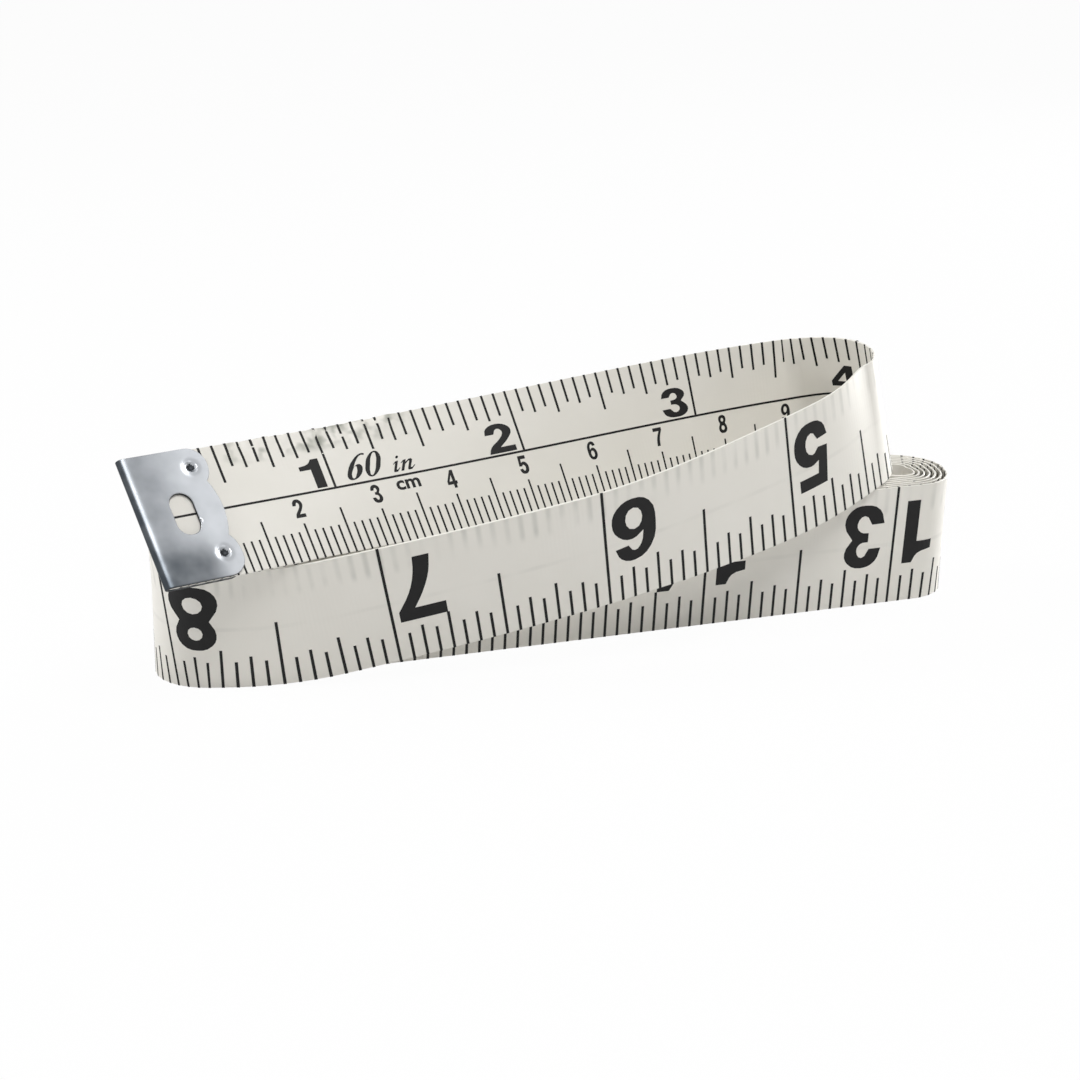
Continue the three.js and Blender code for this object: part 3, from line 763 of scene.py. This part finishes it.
def outline_shape(outlines, slice_width):
    """A numeral or letter from its outlines, in slices and rows."""
    curve = bpy.data.curves.new("outline", "CURVE")
    curve.dimensions = "2D"
    curve.fill_mode = "BOTH"
    curve.resolution_u = SMOOTHNESS
    for outline in outlines:
        spline = curve.splines.new("BEZIER")
        spline.bezier_points.add(len(outline) - 1)
        spline.use_cyclic_u = True
        for point, (x, y, smooth) in zip(spline.bezier_points, outline):
            point.co = (x, y, 0)
            point.handle_left_type = point.handle_right_type = "AUTO" if smooth else "VECTOR"
    return flat_shape(curve, evenly(0, DIGIT_WIDTH, slice_width), evenly(0, 1, DIGIT_ROW))


def word_shape(word, slice_width, boldness):
    text = bpy.data.curves.new("word", "FONT")
    text.body = word
    text.offset = boldness
    text.resolution_u = SMOOTHNESS
    return flat_shape(text, evenly(0, len(word), slice_width))


def bar_shape(columns, rows):
    """A unit square in columns and rows."""
    points = [(i / columns, j / rows) for j in range(rows + 1) for i in range(columns + 1)]
    faces = []
    for j in range(rows):
        for i in range(columns):
            a = j * (columns + 1) + i
            faces.append([a, a + 1, a + columns + 2, a + columns + 1])
    return points, faces, outline_of(faces)


class Print:
    """The ink on one stretch of the ribbon, as thin closed solids that follow its surface."""

    def __init__(self):
        self.points = []
        self.faces = []

    def stamp(self, shape, s, y, width, height, number_side, depth=INK_SUNK, slant=0.0):
        """Prints a shape with its lower left corner at s, y in the reading direction of its side."""
        points, faces, outline = shape
        out = -1 if number_side else 1
        base = len(self.points)
        for lift in (INK_PROUD, -depth):
            for x, up in points:
                rise = y + up * height
                v = TAPE_WIDTH - rise if number_side else rise
                h = out * (TAPE_THICKNESS / 2 + lift)
                self.points.append(place(s - PRINT_START + x * width + slant * up * height, v, h))
        under = base + len(points)
        for corners in faces:
            self.faces.append([base + k for k in corners])
            self.faces.append([under + k for k in reversed(corners)])
        for a, b in outline:
            self.faces.append([base + b, base + a, under + a, under + b])


printing = {node: Print() for node in ranges}


def print_at(s):
    """The ink of the stretch that carries a printed place."""
    here = s - PRINT_START
    return next(printing[node] for node, (first, last) in ranges.items() if here <= lengths[last])


SLICE = 0.8
FINE_SLICE = 0.3
TICK = bar_shape(1, 6)
SHORT_TICK = bar_shape(1, 1)
DIVIDER_AT = DIVIDER * TAPE_WIDTH
FIRST_PRINTED = 3
LAST_PRINTED = lengths[-1] + PRINT_START - TIP_LENGTH
OUTER_TURN = 17 * INCH
RUN_START, RUN_END = (lengths[i] for i in ranges["tape_front_run"])
# The wall of the hollow shows bare cloth in the photograph, so the last turn has no scale on its inner side
BARE_FROM = LAST_PRINTED - 9 * INCH

# Widths and lengths of the ticks, lengths as shares of the ribbon's width
INCH_TICK_WIDTH = 0.3
NUMBER_TICK_WIDTH = 0.34
MM_TICK_WIDTH = 0.24
SCALE_TICKS = {16: 1 - DIVIDER, 8: 0.3, 4: 0.246, 2: 0.21, 1: 0.183}
NUMBER_TICKS = {16: 1, 8: 0.55, 4: 0.33, 2: 0.27, 1: 0.225}
CM_TICK, HALF_CM_TICK, MM_TICK = 0.285, 0.355, 0.225
# Ticks cracked on the crinkled edge, by sixteenths: from which share of the length to which the ink has flaked off
CRACKS = {11: (0.64, 0.7), 18: (0.5, 0.62), 20: (0.84, 0.93), 21: (0.7, 0.84), 22: (0.86, 1.0)}
# Ticks run over the edge of the outer turn, and further in every second inch, where the others stop short of it
OVER_EDGE = 0.012
SHORT_OF_EDGE = -0.06
EVERY_SECOND_INCH = 32


def rank(sixteenths):
    """The largest division of the inch that a tick marks, in sixteenths."""
    return next(part for part in (16, 8, 4, 2, 1) if sixteenths % part == 0)


for sixteenths in range(1, int(LAST_PRINTED * 16 / INCH)):
    s = sixteenths * INCH / 16
    ink = print_at(s)
    tick = TICK if s < FOLD_END else SHORT_TICK
    over = OVER_EDGE if s < OUTER_TURN or sixteenths % EVERY_SECOND_INCH == 0 else SHORT_OF_EDGE
    scale_over = SHORT_OF_EDGE if RUN_START < s < RUN_END else over
    length = SCALE_TICKS[rank(sixteenths)] * TAPE_WIDTH
    crack = CRACKS.get(sixteenths, (1, 1))
    for start, end in ((0, crack[0]), (crack[1], 1)):
        if s < BARE_FROM and start < end:
            ink.stamp(
                tick, s - INCH_TICK_WIDTH / 2, TAPE_WIDTH - length * (1 - start), INCH_TICK_WIDTH,
                length * (end - start) + (scale_over if end == 1 else 0), False, EDGE_INK,
            )
    length = NUMBER_TICKS[rank(sixteenths)] * TAPE_WIDTH
    low = -over if rank(sixteenths) == 16 else TAPE_WIDTH - length
    ink.stamp(
        tick, s - NUMBER_TICK_WIDTH / 2, low, NUMBER_TICK_WIDTH, TAPE_WIDTH + over - low, True, EDGE_INK
    )
for millimetres in range(FIRST_PRINTED, int(LAST_PRINTED)):
    share = CM_TICK if millimetres % 10 == 0 else HALF_CM_TICK if millimetres % 5 == 0 else MM_TICK
    over = OVER_EDGE if millimetres < OUTER_TURN else SHORT_OF_EDGE
    print_at(millimetres).stamp(
        SHORT_TICK, millimetres - MM_TICK_WIDTH / 2, -over, MM_TICK_WIDTH, share * TAPE_WIDTH + over, False, EDGE_INK
    )

# Dividing line between the inch and the centimetre scale
LINE_WIDTH = 0.26
for node, (first, last) in ranges.items():
    start = max(lengths[first] + PRINT_START, FIRST_PRINTED)
    end = min(lengths[last] + PRINT_START, LAST_PRINTED)
    strip = bar_shape(math.ceil((end - start) / SLICE), 1)
    printing[node].stamp(strip, start, DIVIDER_AT - LINE_WIDTH / 2, end - start, LINE_WIDTH, False)

# Numerals: small bold ones on the inch scale, narrow ones on the centimetre scale, large ones on the other side. Sizes
# are the width and height of an outline's unit box
SCALE_NUMERAL = (5.5, 3.6)
SCALE_NUMERAL_AT = DIVIDER_AT + 0.3
CM_NUMERAL = (1.85, 2.25)
CM_NUMERAL_AT = (CM_TICK + 0.047) * TAPE_WIDTH
LARGE_NUMERAL = (7.9, 8.4)
LARGE_NUMERAL_AT = 0.128 * TAPE_WIDTH
NUMERAL_GAP = 0.9
WIDE_GAP = 1.5
CM_NUMERAL_GAP = 0.25


def digit_set(size, slice_width):
    return {digit: outline_shape(outlines, slice_width / size[0]) for digit, outlines in DIGITS.items()}


def widest(shape):
    return max(x for x, y in shape[0])


scale_digits = digit_set(SCALE_NUMERAL, SLICE)
cm_digits = digit_set(CM_NUMERAL, SLICE)
large_digits = digit_set(LARGE_NUMERAL, FINE_SLICE)

# A numeral stands before its inch, and two stand on either side of it
for inches in range(1, int(OUTER_TURN / INCH)):
    s = inches * INCH
    digits = str(inches)
    ink = print_at(s)
    for shapes, (wide, high), y, number_side in (
        (scale_digits, SCALE_NUMERAL, SCALE_NUMERAL_AT, False),
        (large_digits, LARGE_NUMERAL, LARGE_NUMERAL_AT, True),
    ):
        left = shapes[digits[0]]
        gap = WIDE_GAP if number_side and len(digits) > 1 else NUMERAL_GAP
        ink.stamp(left, s - gap - widest(left) * wide, y, wide, high, number_side)
        if len(digits) > 1:
            ink.stamp(shapes[digits[1]], s + gap, y, wide, high, number_side)
# Those of a centimetre are centred on it
for centimetres in range(2, int(OUTER_TURN / 10)):
    digits = str(centimetres)
    widths = [widest(cm_digits[digit]) * CM_NUMERAL[0] for digit in digits]
    s = centimetres * 10 - (sum(widths) + CM_NUMERAL_GAP * (len(widths) - 1)) / 2
    for digit, width in zip(digits, widths):
        print_at(centimetres * 10).stamp(cm_digits[digit], s, CM_NUMERAL_AT, *CM_NUMERAL, False)
        s += width + CM_NUMERAL_GAP

# Marks of the two scales, by the first inch: the tape's length and the unit, each letter with its place, width and
# height, and the other unit
LENGTH_MARK = (
    ("6", 27.0, 3.5, 3.05), ("0", 29.3, 3.5, 3.05), ("i", 33.0, 2.3, 1.95), ("n", 34.0, 2.5, 1.95),
)
LENGTH_MARK_AT = DIVIDER_AT + 0.5
MARK_SLANT = 0.42
UNIT_MARK = (2.7, 2.3)
UNIT_MARK_START = 32.8
UNIT_MARK_AT = DIVIDER_AT - 1.7
UNIT_MARK_BOLDNESS = 0.026
for letter, s, wide, high in LENGTH_MARK:
    shape = outline_shape(MARK_LETTERS[letter], FINE_SLICE / wide)
    print_at(s).stamp(shape, s, LENGTH_MARK_AT, wide, high, False, slant=MARK_SLANT)
unit = word_shape("cm", SLICE / UNIT_MARK[0], UNIT_MARK_BOLDNESS)
print_at(UNIT_MARK_START).stamp(unit, UNIT_MARK_START, UNIT_MARK_AT, *UNIT_MARK, False)


def dressed_strip(node, bodies, start=None, end=None):
    """The ribbon and the ink of one stretch, on one body, or left unattached where it lies between two."""
    cloth = ribbon(node + "_cloth", node)
    ink = new_piece(node + "_print", printing[node].points, printing[node].faces, [INK])
    for piece in (cloth, ink):
        if len(bodies) == 1:
            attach(piece, bodies[0])
        else:
            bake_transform(piece)
    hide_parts(node)


# Shares of the stretches between two bodies that mark seams at their ends, which the strips don't use
BEND_HELD = 0.08
FOLD_HELD = 0.1


def seam(node, end, inset):
    """The middle of the ribbon at a share of a stretch, from its start or its end."""
    first, last = ranges[node]
    length = lengths[last] - lengths[first]
    return place(mix(lengths[first], lengths[last], end) + inset * length, TAPE_WIDTH / 2, 0)


dressed_strip("tape_lead", ["lead"])
dressed_strip(
    "tape_right_bend", ["lead", "front_run"],
    seam("tape_right_bend", 0, BEND_HELD), seam("tape_right_bend", 1, -BEND_HELD),
)
dressed_strip("tape_front_run", ["front_run"])
dressed_strip(
    "tape_left_fold", ["front_run", "roll"],
    seam("tape_left_fold", 0, FOLD_HELD), seam("tape_left_fold", 1, -FOLD_HELD),
)
dressed_strip("tape_roll", ["roll"])


# Metal tip, as in the part: a plate cut to the flat pattern of two leaves and folded over the ribbon's end
TIP_SHEET = 0.35
TIP_CLEARANCE = 0.1
TIP_CORNER = 2.2
TIP_NOTCH_DEPTH = 0.8
TIP_NOTCH_SPACING = 6.7
TIP_BULGE = 0.55
TIP_FEATURE_SHIFT = 0.2
TIP_SETBACK = 0.15
SLOT_LENGTH = 5
SLOT_WIDTH = 2.8
SLOT_FROM_FOLD = 5.3
DIMPLE_SPACING = 10.5
DIMPLE_FROM_FOLD = 8
# Dimples staked with a round punch, which raises a rim; the fold eases out from a tight middle to the flat leaf
DIMPLE_RADIUS = 0.66
DIMPLE_DEPTH = 0.32
DIMPLE_PIT = 0.8
RIM_HEIGHT = 0.1
RIM_WIDTH = 0.3
FOLD_EASE = 4.2
EDGE_BREAK = 0.07
EDGE_ANGLE = 30
PLATE_STEP = 0.14
FOLD_STEP = 0.06
FOLD_PLACE_COUNT = 60
ROUND_STEPS = 16

TIP_HALF = TAPE_WIDTH / 2 + TIP_OVERHANG
LEAF_HEIGHT = TAPE_THICKNESS / 2 + TIP_CLEARANCE + TIP_SHEET / 2
FOLD_FRONT = TAPE_THICKNESS / 2 - LEAF_HEIGHT


def fold_places():
    """Places along the middle of the plate from the fold to the flat leaf, and the step between them."""
    shares = [(i + 0.5) / FOLD_PLACE_COUNT for i in range(FOLD_PLACE_COUNT)]
    headings = [math.pi / 2 * (1 - u) ** FOLD_EASE for u in shares]
    step = LEAF_HEIGHT / sum(math.sin(turn) for turn in headings)
    places = [Vector((FOLD_FRONT, 0))]
    for turn in headings:
        places.append(places[-1] + Vector((math.cos(turn), math.sin(turn))) * step)
    return places, step


FOLD_PLACES, FOLD_PLACE_STEP = fold_places()
FOLD_LENGTH = FOLD_PLACE_STEP * (len(FOLD_PLACES) - 1)


def bent_plate(u, y, lift):
    """A point of the folded plate: u from the fold's middle towards the slotted leaf, y across, lift outwards."""
    far = abs(u)
    if far < FOLD_LENGTH:
        i = min(int(far / FOLD_PLACE_STEP), len(FOLD_PLACES) - 2)
        place_on_fold = FOLD_PLACES[i].lerp(FOLD_PLACES[i + 1], far / FOLD_PLACE_STEP - i)
        turn = math.pi / 2 * (1 - far / FOLD_LENGTH) ** FOLD_EASE
    else:
        place_on_fold = FOLD_PLACES[-1] + Vector((far - FOLD_LENGTH, 0))
        turn = 0
    x = place_on_fold.x - math.sin(turn) * lift
    z = place_on_fold.y + math.cos(turn) * lift
    return Vector((x, y, z if u > 0 else -z))


def from_fold(distance):
    """The place in the flat pattern of a distance from the fold's outer edge."""
    return FOLD_FRONT - TIP_SHEET / 2 + distance - FOLD_PLACES[-1].x + FOLD_LENGTH


def arc_points(x, y, radius, start, end):
    turns = [math.radians(mix(start, end, i / ROUND_STEPS)) for i in range(ROUND_STEPS + 1)]
    return [(x + radius * math.cos(turn), y + radius * math.sin(turn)) for turn in turns]


def curve_points(start, pull, end):
    """Points of a curve from a start to an end, drawn towards a pull, without its start."""
    points = []
    for i in range(1, ROUND_STEPS + 1):
        u = i / ROUND_STEPS
        w = 1 - u
        points.append(tuple(w * w * a + 2 * w * u * b + u * u * c for a, b, c in zip(start, pull, end)))
    return points


def leaf_edge():
    """The free edge of a leaf, from its lower to its upper corner: lobe, notch, bulge, notch and lobe."""
    edge = from_fold(TIP_LENGTH)
    notch = edge - TIP_NOTCH_DEPTH
    lower = TIP_FEATURE_SHIFT - TIP_NOTCH_SPACING / 2
    upper = TIP_FEATURE_SHIFT + TIP_NOTCH_SPACING / 2
    points = arc_points(edge - TIP_CORNER, TIP_CORNER - TIP_HALF, TIP_CORNER, -90, 0)
    points += curve_points(points[-1], (edge, lower - TIP_NOTCH_DEPTH), (notch, lower))
    points += curve_points(points[-1], (edge + TIP_BULGE, TIP_FEATURE_SHIFT), (notch, upper))
    points += curve_points(points[-1], (edge, upper + TIP_NOTCH_DEPTH), (edge, TIP_HALF - TIP_CORNER))
    return points + arc_points(edge - TIP_CORNER, TIP_HALF - TIP_CORNER, TIP_CORNER, 0, 90)[1:]


def tip_pattern():
    """The plate's flat pattern: both leaves, with the slot in one of them."""
    pattern = bpy.data.curves.new("tip_pattern", "CURVE")
    pattern.dimensions = "2D"
    pattern.fill_mode = "BOTH"
    front = leaf_edge()
    slot_at = from_fold(SLOT_FROM_FOLD)
    reach = (SLOT_LENGTH - SLOT_WIDTH) / 2
    slot = arc_points(slot_at, TIP_FEATURE_SHIFT + reach, SLOT_WIDTH / 2, 0, 180)
    slot += arc_points(slot_at, TIP_FEATURE_SHIFT - reach, SLOT_WIDTH / 2, 180, 360)
    for outline in (front + [(-u, y) for u, y in reversed(front)], slot):
        spline = pattern.splines.new("POLY")
        spline.points.add(len(outline) - 1)
        spline.use_cyclic_u = True
        for point, (u, y) in zip(spline.points, outline):
            point.co = (u, y, 0, 1)
    leaf_cuts = evenly(FOLD_LENGTH, from_fold(TIP_LENGTH + TIP_BULGE), PLATE_STEP)
    columns = [-u for u in leaf_cuts] + evenly(-FOLD_LENGTH, FOLD_LENGTH, FOLD_STEP) + leaf_cuts
    return flat_shape(pattern, columns, evenly(-TIP_HALF, TIP_HALF, PLATE_STEP), EDGE_BREAK)


def from_dimple(u, y):
    """How far a place in the flat pattern is from the middle of the nearer dimple."""
    over = abs(y - TIP_FEATURE_SHIFT) - DIMPLE_SPACING / 2
    return math.hypot(u - from_fold(DIMPLE_FROM_FOLD), over)


def staked(u, y):
    """How far the punch has moved the plate's outer face."""
    off = from_dimple(u, y)
    bowl = DIMPLE_DEPTH * max(0, 1 - (off / DIMPLE_RADIUS) ** 2)
    return RIM_HEIGHT * math.exp(-(((off - DIMPLE_RADIUS) / RIM_WIDTH) ** 2)) - bowl


def in_pit(u, y):
    return from_dimple(u, y) < DIMPLE_PIT * DIMPLE_RADIUS


TIP_PATTERN = tip_pattern()


def pressed_tip(node, body, end, inwards):
    """A folded tip on the ribbon's end, its sheared edges broken."""
    flat, flat_faces, outline = TIP_PATTERN
    axis = along[end] * inwards
    turned = Matrix((axis, across[end], axis.cross(across[end]))).transposed()
    origin = middles[end] + axis * TIP_SETBACK
    rim = {k for side in outline for k in side}
    points = []
    for k, (u, y) in enumerate(flat):
        lift = TIP_SHEET / 2 - EDGE_BREAK if k in rim else TIP_SHEET / 2 + staked(u, y)
        points.append((origin + turned @ bent_plate(u, y, lift)) * MM)
    points += [(origin + turned @ bent_plate(u, y, -TIP_SHEET / 2)) * MM for u, y in flat]
    under = len(flat)
    faces = list(flat_faces)
    faces += [[under + k for k in reversed(corners)] for corners in flat_faces]
    faces += [[b, a, under + a, under + b] for a, b in outline]
    # Faces in the bottoms of the staked pits take the dark steel as painted shade
    pits = [int(all(in_pit(*flat[k]) for k in corners)) for corners in flat_faces]
    slots = pits + [0] * len(flat_faces) + [1] * len(outline)
    tip = new_piece(node + "_metal", points, faces, [STEEL, EDGE_STEEL_AND_PIT_SHADE], slots)
    layer = tip.data.uv_layers.new(name="plate")
    for loop in tip.data.loops:
        layer.data[loop.index].uv = flat[loop.vertex_index % under]
    bpy.ops.object.select_all(action="DESELECT")
    bpy.context.view_layer.objects.active = tip
    tip.select_set(True)
    bpy.ops.object.shade_smooth_by_angle(angle=math.radians(EDGE_ANGLE))
    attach(tip, body)
    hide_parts(node)


pressed_tip("zero_end_tip", "lead", 0, 1)
pressed_tip("far_end_tip", "roll", len(path) - 1, -1)


def background_seen(tree):
    """1 for the rays that see the white background: the camera's, and those off metal and through clear things."""
    rays = add(tree, "ShaderNodeLightPath").outputs
    pair = add(tree, "ShaderNodeMath", {0: rays["Is Camera Ray"], 1: rays["Is Glossy Ray"]}, operation="MAXIMUM")
    return add(tree, "ShaderNodeMath", {0: pair, 1: rays["Is Transmission Ray"]}, operation="MAXIMUM")


# Stage: a white sweep under soft light, its sizes in metres
FLOOR_SIZE = 8
FLOOR_GLOW = 0.965
bpy.ops.object.select_all(action="DESELECT")
bpy.ops.mesh.primitive_plane_add(size=FLOOR_SIZE)
floor = bpy.context.active_object
floor.name = "floor"
paper, paper_tree = new_material("white_paper_floor")
seen = background_seen(paper_tree)
share = add(paper_tree, "ShaderNodeMath", {0: seen, 1: FLOOR_GLOW}, operation="MULTIPLY")
matt = add(paper_tree, "ShaderNodeBsdfDiffuse", {"Color": linear("#e6e6e6")})
glow = add(paper_tree, "ShaderNodeEmission", {"Color": WHITE, "Strength": 1})
both = add(paper_tree, "ShaderNodeMixShader", {0: share, 1: matt, 2: glow})
add(paper_tree, "ShaderNodeOutputMaterial", {"Surface": both})
floor.data.materials.append(paper)

# A light tent: brighter at the sides than overhead
SIDE_FILL, OVERHEAD_FILL = 0.26, 0.24
SIDE_HEIGHT, OVERHEAD_HEIGHT = 0.2, 0.9
world = bpy.data.worlds.new("studio")
bpy.context.scene.world = world
world.use_nodes = True
sky = world.node_tree
sky.nodes.clear()
seen = background_seen(sky)
direction = add(sky, "ShaderNodeTexCoord").outputs["Generated"]
height = add(sky, "ShaderNodeSeparateXYZ", {0: direction}).outputs[2]
tent = add(
    sky, "ShaderNodeMapRange", {0: height, 1: SIDE_HEIGHT, 2: OVERHEAD_HEIGHT, 3: SIDE_FILL, 4: OVERHEAD_FILL}
)
fill = add(sky, "ShaderNodeBackground", {"Color": WHITE, "Strength": tent})
backdrop = add(sky, "ShaderNodeBackground", {"Color": WHITE, "Strength": 1})
both = add(sky, "ShaderNodeMixShader", {0: seen, 1: fill, 2: backdrop})
add(sky, "ShaderNodeOutputWorld", {"Surface": both})

# Softboxes, each with its place and power
SOFTBOXES = {
    "key_light": ((0.052, -0.295, 0.52), 1.85),
    "left_light": ((-0.462, 0.168, 0.344), 2.0),
    "right_light": ((0.558, 0.203, 0.0835), 3.8),
}
SOFTBOX_SIZE = 0.3
LIT_PLACE = Vector((0, 0, 0.015))
for name, (position, power) in SOFTBOXES.items():
    lamp = bpy.data.lights.new(name, "AREA")
    lamp.shape = "DISK"
    lamp.size = SOFTBOX_SIZE
    lamp.energy = power
    softbox = bpy.data.objects.new(name, lamp)
    softbox.location = position
    softbox.rotation_euler = (LIT_PLACE - Vector(position)).to_track_quat("-Z", "Y").to_euler()
    bpy.context.scene.collection.objects.link(softbox)

# Camera where the printed scale puts it
CAMERA_FROM_ROLL = Vector((-97.9, -250.71, 91.9))
CAMERA_PITCH = 16.831
CAMERA_YAW = 20.476
FOCAL_PIXELS = 2327
FRAME_PIXELS = 1080
SENSOR_WIDTH = 36
NEAREST_SEEN = 0.01
camera = bpy.data.objects.new("camera", bpy.data.cameras.new("camera"))
camera.data.sensor_width = SENSOR_WIDTH
camera.data.lens = FOCAL_PIXELS / FRAME_PIXELS * SENSOR_WIDTH
camera.data.clip_start = NEAREST_SEEN
camera.location = (CAMERA_FROM_ROLL + SHIFT) * MM
camera.rotation_euler = (math.radians(90 - CAMERA_PITCH), 0, math.radians(-CAMERA_YAW))
bpy.context.scene.collection.objects.link(camera)
bpy.context.scene.camera = camera

bpy.context.scene.view_settings.view_transform = "Standard"
